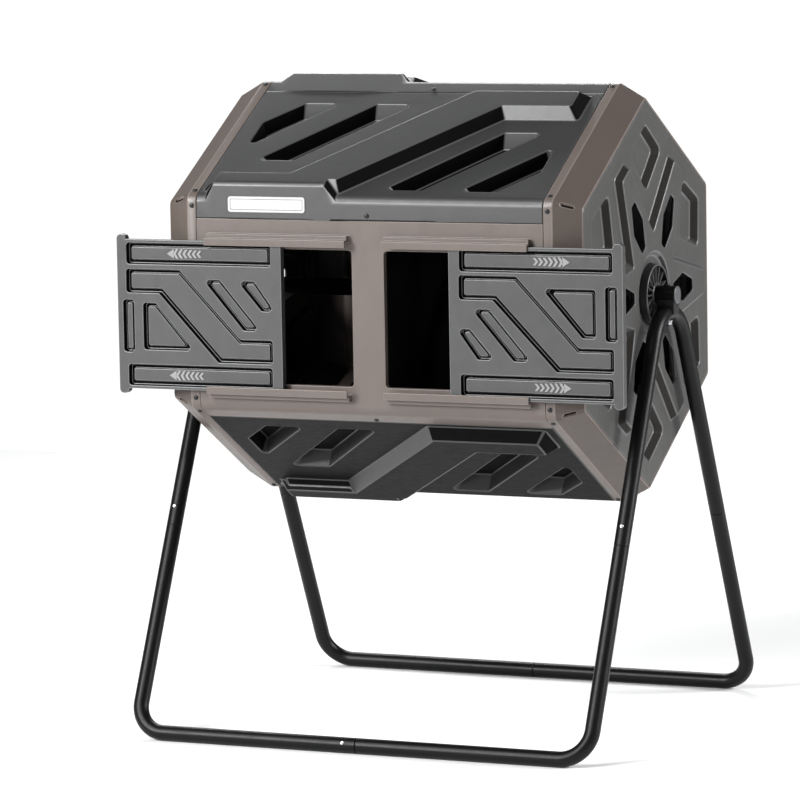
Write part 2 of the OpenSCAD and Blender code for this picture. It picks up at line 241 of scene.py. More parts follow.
def soften(obj, width, segments=3, angle=28):
    """Rounds the edges and gives the rounds the second material, a painted highlight, then shades flat
    faces flat and the rounds smooth.
    """
    bm = bmesh.new()
    bm.from_mesh(obj.data)
    bmesh.ops.dissolve_limit(
        bm,
        angle_limit=math.radians(0.5),
        verts=bm.verts,
        edges=bm.edges,
        delimit={"MATERIAL"},
    )
    wide = [f for f in bm.faces if len(f.verts) > 4]
    bmesh.ops.triangulate(bm, faces=wide, ngon_method="BEAUTY")
    bm.to_mesh(obj.data)
    bm.free()
    m = obj.modifiers.new("round", "BEVEL")
    m.width = width * MM
    m.segments = segments
    m.limit_method = "ANGLE"
    m.angle_limit = math.radians(angle)
    m.use_clamp_overlap = False
    m.loop_slide = False
    # The rounds take the painted highlight.
    m.material = EDGE
    m.miter_outer = "MITER_SHARP"
    settle(obj)
    obj.data.shade_smooth()
    obj.data.set_sharp_from_angle(angle=math.radians(40))
    obj.data["soft"] = 1
    w = obj.modifiers.new("normals", "WEIGHTED_NORMAL")
    w.keep_sharp = True
    w.weight = 60
    settle(obj)
    return obj


def smooth(obj, angle=35):
    obj.data.shade_smooth()
    obj.data.set_sharp_from_angle(angle=math.radians(angle))
    return obj


def put(obj, body, slot, *nodes):
    """Fixes the place in the mesh, so that its box is exact, and rides the body."""
    if obj.matrix_world != Matrix.Identity(4):
        obj.data = obj.data.copy()
        obj.data.transform(obj.matrix_world)
        obj.matrix_world = Matrix.Identity(4)
    if "soft" in obj.data:
        m = obj.modifiers.new("flat", "WEIGHTED_NORMAL")
        m.mode, m.weight, m.keep_sharp = "FACE_AREA", 100, True
        settle(obj)
    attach(obj, body)
    if nodes:
        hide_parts(*nodes)


def face_matrix(th):
    """Stands a shape drawn on a face of the barrel in its place."""
    a = math.radians(th)
    c, s = math.cos(a), math.sin(a)
    m = Matrix(((1, 0, 0), (0, s, -c), (0, c, s))).to_4x4()
    m.translation = Vector((0, -APO * c, AXIS + APO * s)) * MM
    return m


def mirrored(obj, name):
    """A copy with its own mesh, mirrored in the plane x = 0."""
    mesh = obj.data.copy()
    mesh.transform(Matrix.Diagonal((-1, 1, 1, 1)))
    mesh.flip_normals()
    return smooth(link(name, mesh))


def reflect(obj, sx, sy=1):
    """Mirrors the mesh in x, y or both, where sx or sy is -1."""
    obj.data.transform(Matrix.Diagonal((sx, sy, 1, 1)))
    if sx * sy < 0:
        obj.data.flip_normals()


def to_axis(obj):
    """Lifts a mesh drawn about X to the height of the axle."""
    obj.data.transform(Matrix.Translation((0, 0, AXIS * MM)))


# ---------- materials ----------


def material(
    name,
    rgb,
    rough=0.5,
    vary=0.08,
    grain=700.0,
    grain_depth=0.06,
    scuffs=0.15,
    metallic=0.0,
    specular=0.5,
):
    """Moulded plastic, coated or plated metal: tone drifts slowly, a fine grain stands
    in the surface, and faint scuffs change the gloss."""
    m = bpy.data.materials.new(name)
    m.use_nodes = True
    nt = m.node_tree
    nodes, links = nt.nodes, nt.links
    nodes.clear()
    out = nodes.new("ShaderNodeOutputMaterial")
    bsdf = nodes.new("ShaderNodeBsdfPrincipled")
    links.new(bsdf.outputs[0], out.inputs[0])
    bsdf.inputs["Metallic"].default_value = metallic
    bsdf.inputs["Specular IOR Level"].default_value = specular
    place = nodes.new("ShaderNodeTexCoord")

    def noise(scale, detail, rough_=0.5, stretch=None):
        n = nodes.new("ShaderNodeTexNoise")
        n.inputs["Scale"].default_value = scale
        n.inputs["Detail"].default_value = detail
        n.inputs["Roughness"].default_value = rough_
        src = place.outputs["Object"]
        if stretch:
            mp = nodes.new("ShaderNodeMapping")
            mp.inputs["Scale"].default_value = stretch
            links.new(src, mp.inputs["Vector"])
            src = mp.outputs[0]
        links.new(src, n.inputs["Vector"])
        return n.outputs["Fac"]

    def ramp(src, stops):
        r = nodes.new("ShaderNodeValToRGB")
        e = r.color_ramp.elements
        while len(e) < len(stops):
            e.new(0.5)
        for el, (pos, val) in zip(e, stops):
            el.position = pos
            el.color = (*val, 1) if isinstance(val, tuple) else (val, val, val, 1)
        links.new(src, r.inputs[0])
        return r.outputs[0]

    low = tuple(c * (1 - vary) for c in rgb)
    high = tuple(min(1, c * (1 + vary)) for c in rgb)
    tone = ramp(noise(9, 4, 0.6), [(0.3, low), (0.7, high)])
    speck = ramp(noise(grain * 0.6, 2), [(0.35, 1 - vary * 0.8), (0.65, 1.0)])
    mix = nodes.new("ShaderNodeMix")
    mix.data_type = "RGBA"
    mix.blend_type = "MULTIPLY"
    mix.inputs["Factor"].default_value = 1.0
    links.new(tone, mix.inputs[6])
    links.new(speck, mix.inputs[7])
    links.new(mix.outputs[2], bsdf.inputs["Base Color"])

    scuff = ramp(
        noise(60, 5, 0.7, (1, 4, 0.6)),
        [(0.3, max(0.05, rough - scuffs * 0.5)), (0.75, min(1, rough + scuffs * 0.5))],
    )
    links.new(scuff, bsdf.inputs["Roughness"])

    bump = nodes.new("ShaderNodeBump")
    bump.inputs["Strength"].default_value = 1.0
    bump.inputs["Distance"].default_value = grain_depth * MM
    links.new(noise(grain, 3, 0.6), bump.inputs["Height"])
    links.new(bump.outputs[0], bsdf.inputs["Normal"])
    return m


def tinted(rgb, k):
    return tuple(c * k for c in rgb)


CHARCOAL = (0.029, 0.029, 0.0295)
TAUPE = (0.116, 0.094, 0.083)
DOOR = (0.054, 0.054, 0.055)
mat = {
    "charcoal": material("charcoal_plastic", CHARCOAL, 0.42, scuffs=0.08),
    # Painted highlight: a lighter copy of the charcoal for rounded edges and lit walls.
    "charcoal_painted_highlight": material("charcoal_painted_highlight", tinted(CHARCOAL, 1.9), 0.36, scuffs=0.08),
    # Painted shade: a near-black copy of the charcoal for walls and hollows.
    "charcoal_painted_shade": material("charcoal_painted_shade", tinted(CHARCOAL, 0.06), 0.7, specular=0.06),
    # Painted shade: a darker charcoal for the flats of the down-facing lower panels.
    "low": material("charcoal_painted_shade_low", tinted(CHARCOAL, 0.25), 0.5, specular=0.05),
    "taupe": material("taupe_plastic", TAUPE, 0.38, vary=0.05),
    # Painted highlight: a lighter copy of the taupe for its rounded edges.
    "taupe_painted_highlight": material("taupe_painted_highlight", tinted(TAUPE, 1.45), 0.36, vary=0.05),
    # Painted shade: a near-black copy of the taupe for its slots and walls.
    "taupe_painted_shade": material("taupe_painted_shade", tinted(TAUPE, 0.06), 0.7, specular=0.06),
    # Painted shade: a darker copy of the taupe for the end rings' faces that look out along X.
    "taupe_painted_side_shade": material(
        "taupe_painted_side_shade", (TAUPE[0] * 0.7, TAUPE[1] * 0.68, TAUPE[2] * 0.66), 0.44, vary=0.05
    ),
    "door": material("door_plastic", DOOR, 0.38, vary=0.06),
    # Painted highlight: a lighter copy of the door grey for its rounded edges.
    "door_painted_highlight": material("door_painted_highlight", tinted(DOOR, 3.2), 0.3, vary=0.05),
    # Painted shade: a near-black copy of the door grey for its hollows, pockets and moats.
    "door_painted_shade": material("door_painted_shade", tinted(DOOR, 0.04), 0.7, specular=0.05),
    "arrow": material("arrow_plastic", (0.24, 0.24, 0.24), 0.42, vary=0.04),
    # Painted light: the end panels are the charcoal plastic, lightened.
    "end": material("end_charcoal_painted_light", (0.061, 0.0598, 0.0575), 0.44),
    # Painted highlight: a lighter charcoal for the end panels' rounded edges and the hub's ribs.
    "end_painted_highlight": material("end_painted_highlight", tinted(CHARCOAL, 3.2), 0.34),
    # Painted shade: a dark warm copy of the charcoal for the end panels' walls and vents.
    "end_painted_shade": material("end_painted_shade", (0.022, 0.0195, 0.0178), 0.6, specular=0.2),
    "coat": material(
        "black_powder_coat", (0.0035, 0.0035, 0.0037), 0.36,
        vary=0.2, grain=1100, grain_depth=0.12, scuffs=0.1, specular=0.2,
    ),
    "moulding": material("black_moulding", (0.009, 0.009, 0.009), 0.45, vary=0.12),
    "dark_steel": material("dark_steel", (0.03, 0.03, 0.032), 0.35, metallic=0.6, grain_depth=0.03),
    "bright_steel": material("bright_steel", (0.62, 0.63, 0.65), 0.28, metallic=1.0, grain_depth=0.02),
    "cap": material("grey_cap_plastic", (0.09, 0.092, 0.095), 0.4, vary=0.05),
    "plate": material("white_plate", (0.5, 0.5, 0.5), 0.3, vary=0.02, grain_depth=0.01),
    "plate_line": material("plate_line", (0.06, 0.06, 0.06), 0.35, vary=0.03, grain_depth=0.01),
}


def mats_of(*keys):
    return [mat[k] for k in keys]


PANEL_MATS = mats_of("charcoal", "charcoal_painted_highlight", "charcoal_painted_shade", "charcoal")
# Painted shade: the lower panels' flats take the darker charcoal, and their rounded edges and lit walls
# the plain charcoal.
LOW_PAINTED_SHADE_MATS = mats_of("low", "charcoal", "charcoal_painted_shade", "charcoal")
TAUPE_MATS = mats_of("taupe", "taupe_painted_highlight", "taupe_painted_shade", "taupe_painted_side_shade")
END_MATS = mats_of("end", "end_painted_highlight", "end_painted_shade")
DOOR_MATS = mats_of("door", "door_painted_highlight", "door_painted_shade", "arrow")


# ---------- side panels ----------


def seen_from(d, v, w):
    """A (v, w) point of the face d degrees on, in this face's own (v, w)."""
    a = math.radians(d)
    return (
        (APO + w) * math.sin(a) + v * math.cos(a),
        (APO + w) * math.cos(a) - v * math.sin(a) - APO,
    )


def corner(high, low, r, rr, n=8):
    """Round between the face before, at height low, and this face at height high."""
    cv = ((high + r - APO) / 2 - low) / COS30
    made = []
    for k in range(n + 1):
        a = math.radians(-60 + 60 * k / n)
        made.append((cv + rr * math.sin(a), high - r + rr * math.cos(a)))
    return made


def shell_section():
    return (
        [seen_from(-60, LIP_V, 0)]
        + corner(0, 0, CORNER_R, CORNER_R)
        + [(TOP_V, 0), (TOP_V, -WALL)]
        + corner(0, 0, CORNER_R, CORNER_R - WALL)[::-1]
        + [seen_from(-60, LIP_V, -WALL)]
    )


def tongue_section():
    low = -2 * WALL - 0.3
    far = HEX_R / 2 - 9
    return [
        (TOP_V - WALL, -0.6), (TOP_V - 0.6, -0.6), (TOP_V - 0.6, -WALL - 0.3),
        (far, -WALL - 0.3), (far, low), (TOP_V - WALL, low),
    ]


def band_outline():
    half, low = 46, -102
    x_top, x_mid = 132.5 / SLOPE, 94.5 / SLOPE
    pts = [
        (-246, low), (half + low / SLOPE, low), (half + x_mid, 94.5),
        (247, 94.5), (247, 132.5), (x_top - half, 132.5),
        (-x_mid - half, -94.5), (-240, -94.5),
    ]
    return [(x - 0.6, y + PATTERN_V - 9.8) for x, y in pts]


POCKETS = [
    [(-246, -3), (-136, 113), (-195, 113), (-246, 61)],
    [(-217, -39), (-155, -39), (-17, 112), (-78, 112)],
]
ALL_POCKETS = [
    [(p[0], p[1] + PATTERN_V) for p in turned(pts, a)]
    for a in (0, 180)
    for pts in POCKETS
]


def relief_panel(low):
    shell = Shape().bar(shell_section(), -PANEL_HALF, PANEL_HALF)
    obj = build("upper_front_panel_detail", shell, PANEL_MATS)
    boolean(obj, Shape().bar(tongue_section(), -254, 254), "UNION", PANEL_MATS)

    top = band_outline()
    band = Shape().prism([(rounded(grown(top, 15.0), 7), -2), (rounded(top, 4), RAISE)])
    boolean(obj, band, "UNION", PANEL_MATS)

    def profile(high, low, r):
        deep = -WALL + 0.1
        return (
            [seen_from(-60, LIP_V + 0.3, deep), seen_from(-60, LIP_V + 0.3, low)]
            + corner(high, low, r, r)
            + [(-118, high), (-118, deep), (-(APO + deep) / COS30 / 2, deep)]
        )

    flat, tall = profile(-0.5, -0.5, CORNER_R), profile(RAISE, 0.5, 10)
    stations = [(-261, flat), (-246.6, tall), (-68, tall), (-48.5, flat)]
    end = Shape().loft([[(u, *p) for p in pts][::-1] for u, pts in stations])
    boolean(obj, end, "UNION", PANEL_MATS)

    cups, cuts = Shape(), Shape()
    depth = 24.0

    def draft(normal):
        return -10.0 if abs(normal.y) > 0.9 else -3.5

    # The pocket cuts carry painted shade on their walls and floors.
    for pts in ALL_POCKETS:
        foot = grown(pts, draft)
        mouth = grown(pts, lambda n: -draft(n) / depth * 2)
        cups.prism([(rounded(grown(foot, 3), 6), -depth - WALL), (rounded(grown(pts, 3), 9), -1)])
        cuts.prism([(rounded(foot, 3), -depth), (rounded(mouth, 6), 2)], PAINTED_SHADE)
    boolean(obj, cups, "UNION", PANEL_MATS)
    boolean(obj, cuts, "DIFFERENCE", PANEL_MATS)
    # Painted light on the walls: those that face down the face get the painted highlight, and sloped
    # ones that face along it painted shade. On the lower panels the walls that face up it get the plain
    # charcoal, lit against their painted-shade flats, and the other walls painted shade.
    for p in obj.data.polygons:
        n, v, w = p.normal, p.center.y / MM, p.center.z / MM
        wall = 0.02 < n.z < 0.95 and abs(n.x) + abs(n.y) > 0.3
        if low and wall and -depth - 0.05 < w < RAISE + 4 and abs(v) < 150:
            lit = n.y > 0.3 and (abs(n.x) > 0.3 or w < 0)
            p.material_index = EXTRA if lit else PAINTED_SHADE
        elif n.y < -0.75 and 0.02 < n.z < 0.9:
            p.material_index = EDGE
        elif p.material_index == BASE and 0.3 < n.z < 0.95 and abs(n.x) > 0.3:
            p.material_index = PAINTED_SHADE
    return soften(obj, 1.7)


panel_meshes = []
# The two lower panels face down, so their copy of the relief swaps in materials with painted shade on
# the flats.
for low in (False, True):
    panel = relief_panel(low)
    if low:
        for i, m in enumerate(LOW_PAINTED_SHADE_MATS):
            panel.data.materials[i] = m
    panel_meshes.append(panel.data)
    bpy.data.objects.remove(panel)
for th, node in (
    (60, "upper_front_panel"),
    (120, "upper_back_panel"),
    (180, "back_panel"),
    (240, "lower_back_panel"),
    (300, "lower_front_panel"),
):
    o = link(node + "_detail", panel_meshes[1 if th > 180 else 0])
    o.matrix_world = face_matrix(th)
    put(o, "barrel", "charcoal_plastic", node)


# ---------- front panel ----------


def opening(d, s):
    """The door opening on side s, grown by d."""
    x0, x1 = (26 - d, 250 + d) if s > 0 else (-250 - d, -26 + d)
    return rounded(rect(x0, x1, DOOR_C - 99 - d, DOOR_C + 99 + d), 5 + d)


def front_panel():
    shell = Shape().bar(shell_section(), -PANEL_HALF, PANEL_HALF)
    obj = build("front_panel_detail", shell, TAUPE_MATS)
    boolean(obj, Shape().bar(tongue_section(), -254, 254), "UNION", TAUPE_MATS)
    collars, holes = Shape(), Shape()
    for s in (-1, 1):
        collars.block(opening(WALL, s), -10, -1)
        holes.prism([(opening(0, s), -20), (opening(0.6, s), 10)])
    boolean(obj, collars, "UNION", TAUPE_MATS)
    boolean(obj, holes, "DIFFERENCE", TAUPE_MATS)
    rails = Shape()
    groove, top = DOOR_FRONT + 0.7, 111.3
    section = [
        (121, -0.3), (121, 9), (115, 9), (115, groove + 3),
        (104, groove + 3), (104, groove), (top, groove), (top, -0.3),
    ]
    for m in (-1, 1):
        for x0, x1 in ((29, 256), (-256, -29)):
            rails.bar([(DOOR_C + m * v, w) for v, w in section], x0, x1)
    boolean(obj, rails, "UNION", TAUPE_MATS)
    soften(obj, 0.9)
    obj.matrix_world = face_matrix(0)
    return obj


put(front_panel(), "barrel", "taupe_plastic", "front_panel")


def name_plate():
    edge = rounded(rect(-222, -98, 133.5, 156.5), 4)
    top = rounded(rect(-221.5, -98.5, 134, 156), 3.6)
    mats = mats_of("plate", "plate_line")
    obj = build("name_plate_detail", Shape().prism([(edge, 0.55), (edge, 1.7), (top, 2.1)]), mats)
    line = Shape().block(rounded(rect(-218.5, -101.5, 137, 153), 2.2), 1.75, 3, EDGE)
    boolean(obj, line, "DIFFERENCE", mats)
    field = Shape().block(rounded(rect(-217.8, -102.2, 137.7, 152.3), 1.8), 1.6, 2.0)
    boolean(obj, field, "UNION", mats)
    smooth(obj, 30)
    obj.matrix_world = face_matrix(0)
    return obj


put(name_plate(), "barrel", "plate_white", "name_plate")


# ---------- ends ----------


def hexagon(r, fillet, n=6):
    """A rounded hexagon with a corner at the top, as (y, z)."""
    pts = []
    for k in range(6):
        a = math.radians(60 * k)
        c = r - fillet / COS30
        for i in range(n + 1):
            b = a + math.radians(-30 + 60 * i / n)
            y = c * math.sin(a) + fillet * math.sin(b)
            pts.append((y, c * math.cos(a) + fillet * math.cos(b)))
    return pts


def end_ring():
    over = lambda w: (APO + w) / COS30
    rows = [
        (over(0), PANEL_HALF + 0.5, 17), (over(0), FLANGE_X, 15), (END_R, END_X, 9),
        (END_R - 3.4, END_X, 8), (END_R - 3.4, END_X - WALL, 8),
        (END_R - 28, END_X - WALL, 8), (END_R - 28, END_X - 2 * WALL, 8),
        (END_R - 1.5, END_X - 2 * WALL, 8), (over(-WALL), FLANGE_X - 1, 12),
        (over(-WALL), PANEL_HALF + 3.5, 14), (over(-2 * WALL - 0.3), PANEL_HALF + 3.5, 12),
        (over(-2 * WALL - 0.3), 258, 12), (over(-WALL - 0.3), 258, 15),
        (over(-WALL - 0.3), PANEL_HALF + 0.5, 15),
    ]
    rings = [[(x, y, z) for y, z in hexagon(r, f)] for r, x, f in rows]
    obj = build("right_end_ring_detail", Shape().loft(rings, closed=True), TAUPE_MATS)
    # The slots are blind, or the white background would shine through them.
    slots, outline = Shape(), rounded(rect(298.5, 316.5, -2.8, 2.8), 2.6)
    fall = 0.59  # of the bevel, for each mm along X
    for k in range(6):
        a = math.radians(60 * k)
        out = Vector((0, math.sin(a), math.cos(a)))
        side = Vector((0, math.cos(a), -math.sin(a)))
        rings = []
        for r in (-5.4, 30):
            heights = [HEX_R + r - fall * (p.x - FLANGE_X) for p in outline]
            rings.append(
                [Vector((p.x, 0, 0)) + side * p.y + out * h for p, h in zip(outline, heights)]
            )
        # The slot walls take painted shade.
        slots.loft(rings, PAINTED_SHADE)
    boolean(obj, slots, "DIFFERENCE", TAUPE_MATS)
    # Painted shade: faces that look outwards along X take the darker copy of the taupe.
    for p in obj.data.polygons:
        if p.material_index == BASE and p.normal.x > 0.25:
            p.material_index = EXTRA
    soften(obj, 1.1, angle=24)
    to_axis(obj)
    return obj


ring = end_ring()
put(mirrored(ring, "left_end_ring_detail"), "barrel", "taupe_plastic", "left_end_ring")
put(ring, "barrel", "taupe_plastic", "right_end_ring")


def arm(pts, a):
    """Points (across, out) about the axle, turned a degrees from the top towards +Y."""
    return turned(pts, -a)


def end_panel():
    def level(pts, x):
        return [(END_X + x, p[0], p[1]) for p in pts]

    def slab(shape, levels, mat_=0):
        shape.loft([level(pts, x) for pts, x in levels], mat_)

    star = []
    for k in range(6):
        star += arm([(-20, 214), (20, 214)], 30 + 60 * k) + arm([(0, 95)], 60 + 60 * k)
    kite, kite_w = [(0, 250), (63, 209), (0, 150), (-63, 209)], 12
    vent = [(-8, 78), (8, 78), (21, 119), (8, 159), (-8, 159), (-21, 119)]

    plate = Shape()
    slab(plate, [(hexagon(END_R - 3.7, 8), -WALL), (hexagon(END_R - 3.7, 8), 0)])
    obj = build("right_end_panel_detail", plate, END_MATS)
    raised = Shape()
    foot, mid, crest = (rounded(grown(star, d), r) for d, r in ((4.5, 9), (4, 9), (-4, 5)))
    slab(raised, [(foot, -WALL), (mid, -0.5), (crest, 11)])
    boolean(obj, raised, "UNION", END_MATS)
    cups, cuts = Shape(), Shape()
    for k in range(6):
        pts = arm(kite, 60 * k)
        slab(cups, [(rounded(grown(pts, -5), 10), -kite_w - WALL), (rounded(grown(pts, 3), 12), -1)])
        slab(cuts, [(rounded(grown(pts, -8.5), 6), -kite_w), (rounded(grown(pts, 1.4), 11), 2)])
    boolean(obj, cups, "UNION", END_MATS)
    boolean(obj, cuts, "DIFFERENCE", END_MATS)
    hollow = Shape()
    slab(hollow, [(rounded(grown(star, -0.5), 6), -WALL - 1), (rounded(grown(star, -7), 4), 8)])
    boolean(obj, hollow, "DIFFERENCE", END_MATS)
    dish = Shape().lathe(
        [(END_X + 1, 67), (END_X + 10.2, 67), (END_X + 10.2, 44.5), (END_X + 1, 44.5)]
    )
    boolean(obj, dish, "UNION", END_MATS)
    bowl = Shape().lathe([(END_X + 5, 57), (END_X + 13, 65.5), (END_X + 13, 40), (END_X + 5, 40)])
    boolean(obj, bowl, "DIFFERENCE", END_MATS)
    bore = Shape().lathe(
        [(END_X - 20, 45.5), (END_X + 20, 45.5), (END_X + 20, 0.01), (END_X - 20, 0.01)]
    )
    boolean(obj, bore, "DIFFERENCE", END_MATS)
    vents = Shape()
    for k in range(6):
        pts = arm(vent, 30 + 60 * k)
        slab(vents, [(rounded(pts, 4), -20), (rounded(pts, 4), 20)], PAINTED_SHADE)
    boolean(obj, vents, "DIFFERENCE", END_MATS)
    # Painted shade on the relief's walls that face -Y and on the vent walls, except vent walls that
    # face +Y, which keep the plain colour.
    for p in obj.data.polygons:
        if p.normal.y < -0.3 and p.center.x > (END_X - kite_w - 1) * MM:
            p.material_index = PAINTED_SHADE
        elif p.material_index == PAINTED_SHADE and p.normal.y > 0.3:
            p.material_index = BASE
    soften(obj, 1.8)
    to_axis(obj)
    return obj


panel = end_panel()
put(mirrored(panel, "left_end_panel_detail"), "barrel", "charcoal_plastic", "left_end_panel")
put(panel, "barrel", "charcoal_plastic", "right_end_panel")


def hub():
    face = END_X + 17
    mats = mats_of("moulding", "end_painted_highlight")
    bush = Shape().lathe(
        [(END_X - 18, AXLE_R + 4.5), (face - 2, AXLE_R + 4.5), (face - 1, AXLE_R + 3.5),
         (face - 1, AXLE_R + 0.1), (END_X - 18, AXLE_R + 0.1)]
    )
    obj = build("right_hub_detail", bush, mats)
    rim = Shape().lathe(
        [(END_X - 7, 56), (END_X - 3.05, 56), (END_X - 3.05, 45), (face - 1, 45),
         (face, 44), (face, 42.6), (face - 1, 42), (END_X - 2, 42),
         (END_X - 2, AXLE_R + 4.0), (END_X - 7, AXLE_R + 4.0)]
    )
    boolean(obj, rim, "UNION", mats)
    # The ribs take the painted highlight, as do the hub's rounded edges.
    ribs = Shape()
    for k in range(16):
        a = math.radians(22.5 * k)
        out = Vector((0, math.sin(a), math.cos(a)))
        side = Vector((0, math.cos(a), -math.sin(a)))
        rings = []
        for x, t in ((END_X - 3, 1.2), (face - 3, 0.8)):
            corners = rect(16.5, 42.5, -t, t)
            rings.append([Vector((x, 0, 0)) + out * r + side * s for r, s in corners])
        ribs.loft(rings, EDGE)
    boolean(obj, ribs, "UNION", mats)
    soften(obj, 0.5, 2, 35)
    to_axis(obj)
    return obj


right_hub = hub()
put(mirrored(right_hub, "left_hub_detail"), "barrel", "black_moulding", "left_hub")
put(right_hub, "barrel", "black_moulding", "right_hub")


# ---------- doors ----------


def door():
    """A door as its left one, from its inner edge at u = 0 to its grip at u = -268."""
    # Each pocket is drawn for the right hand, with the width of the moat round its island.
    drawn = [
        (rect(17, 252, 74.5, 105.5), 6.4),
        (rect(17, 252, -105.5, -74.5), 6.4),
        (
            [(253, 66.5), (166, 66.5), (68.5, -34), (16, -34),
             (16, -68.5), (104, -68.5), (199.5, 32), (253, 32)],
            6.2,
        ),
        (rect(241.5, 259, -56, 21), 4.6),
        ([(226, 17), (206, 17), (145, -52), (226, -52)], 5.8),
        ([(126, 53), (100, 53), (36, -20), (62, -20)], 4.2),
        ([(70, 52), (44, 52), (12, 9), (32, 9)], 4.2),
    ]
    pockets = [([(-x, y) for x, y in pts], gap) for pts, gap in drawn]
    front, back = DOOR_FRONT, DOOR_BACK
    floor, island = front - 9.3, front - 4.6
    plate = Shape().block(rounded(rect(-262, 0, -110.5, 110.5), 1.5), back, front)
    obj = build("left_door_detail", plate, DOOR_MATS)
    boolean(obj, Shape().block(grip_outline(), back, front), "UNION", DOOR_MATS)

    # The back is hollow, but for a wall round each pocket; the hollow and the pockets take painted
    # shade.
    hollow = Shape().block(rect(-265.5, -2.5, -108, 108), back - 1, front - 2.5, PAINTED_SHADE)
    cavity = build("cavity", hollow, DOOR_MATS)
    cups, cuts, islands = Shape(), Shape(), Shape()
    for pts, gap in pockets:
        cups.block(rounded(grown(pts, 2.2), 7), back + 0.8, front + 1, PAINTED_SHADE)
        foot, mouth = rounded(grown(pts, -0.6), 4.4), rounded(grown(pts, 0.5), 5)
        cuts.prism([(foot, floor), (mouth, front + 0.6)], PAINTED_SHADE)
        foot, top = rounded(grown(pts, -gap + 0.4), 2.5), rounded(grown(pts, -gap - 0.2), 2)
        islands.prism([(foot, floor - 1.5), (top, island)])
    boolean(cavity, cups, "DIFFERENCE", DOOR_MATS)
    combine(obj, cavity, "DIFFERENCE")
    boolean(obj, cuts, "DIFFERENCE", DOOR_MATS)
    boolean(obj, islands, "UNION", DOOR_MATS)
    # Painted shade on every wall of the pockets, moats and islands.
    for p in obj.data.polygons:
        u, v, w = (c / MM for c in p.center)
        wall = abs(p.normal.z) < 0.6 and back + 1.5 < w < front - 0.3
        if wall and -261 < u < -1 and abs(v) < 110:
            p.material_index = PAINTED_SHADE
    soften(obj, 0.9)
    obj.data.transform(Matrix.Translation((0, DOOR_C * MM, 0)))
    return obj


def grip_outline():
    return rounded([(-268, -118), (-253, -118), (-253, 118), (-268, 118)], 6.5, 6)


def arrows():
    """Raised marks in the two strips of a door: a head and six chevrons, pointing out."""
    shape = Shape()
    low, high = DOOR_FRONT - 4.65, DOOR_FRONT - 3.6
    t = 4.6  # thickness of a chevron along u
    for mid in (90, -90):
        marks = [[(-187, mid), (-175, mid - 7.5), (-175, mid + 7.5)]]
        for k in range(6):
            x = -172 + 7.6 * k
            h = 7.2 - 0.35 * k
            marks.append(
                [(x - t, mid), (x, mid - h), (x + t, mid - h), (x, mid), (x + t, mid + h), (x, mid + h)]
            )
        for pts in marks:
            pts = ccw([(x, y + DOOR_C) for x, y in pts])
            shape.prism([(pts, low), (grown(pts, -0.25), high)])
    return shape


door_obj = door()
door_mesh = door_obj.data
bpy.data.objects.remove(door_obj)
arrow_mesh = build("arrows", arrows(), [mat["arrow"]]).data
bpy.data.objects.remove(bpy.data.objects["arrows"])
to_middle = Matrix.Translation((0, DOOR_C * MM, 0))
half_turn = to_middle @ Matrix.Rotation(math.pi, 4, "Z") @ to_middle.inverted()
for side, body in ((-1, "left_door"), (1, "right_door")):
    place = face_matrix(0) @ Matrix.Translation((side * DOOR_REST_X * MM, 0, 0))
    if side > 0:
        place = place @ half_turn
    for mesh, part, nodes in ((door_mesh, "_detail", (body,)), (arrow_mesh, "_arrows", ())):
        o = link(body + part, mesh)
        o.matrix_world = place
        put(o, body, "door_plastic", *nodes)


# ---------- stand ----------


def sweep(shape, path, radius, bore, seg=40):
    """A pipe along a path that lies in one plane, with its ends' edges rounded."""
    pts = [Vector(p) for p in path]
    normal = Vector((0, 0, 0))
    for a, b, c in zip(pts, pts[1:], pts[2:]):
        normal += (b - a).cross(c - b)
    if normal.length < 1e-6:
        normal = (pts[-1] - pts[0]).orthogonal()
    normal.normalize()
    rows = []
    for i, p in enumerate(pts):
        rows.append((p, (pts[min(i + 1, len(pts) - 1)] - pts[max(i - 1, 0)]).normalized()))
    lip = 0.5
    (p, t), (q, u) = rows[0], rows[-1]
    outer = [(p, t, radius - lip), (p + t * lip, t, radius)]
    outer += [(at, way, radius) for at, way in rows[1:-1]]
    outer += [(q - u * lip, u, radius), (q, u, radius - lip)]
    inner = [(at, way, bore) for at, way in reversed(rows)]
    rings = []
    for at, way, r in outer + inner:
        side = normal.cross(way).normalized()
        rings.append([at + (side * math.cos(a) + normal * math.sin(a)) * r for a in turns(seg)])
    return shape.loft(rings, closed=True)


LEG_X, RAIL_Y = 360.0, 336.0  # the bottom rails' middle lines
CROSS_H = 695.0  # height over the rails where the legs' middle lines would cross
JOINT_H = 287.0  # height over the rails of the leg joints
APEX_R, BEND_R = 67.0, 45.0  # radius of the top bend and of the bottom bends
TUBE_R, BORE_R = 11.5, 10.0
PLUG_R, PLUG_BORE = 9.85, 8.4  # the narrow end of a tube, which the next one slips over
PLUG_IN, PLUG_OUT = 8, 42
LEG_A = math.atan(RAIL_Y / CROSS_H)
UP = Vector((0, math.sin(LEG_A), math.cos(LEG_A)))
APEX_Z = TUBE_R + CROSS_H - APEX_R * (1 / math.sin(LEG_A) - 1)


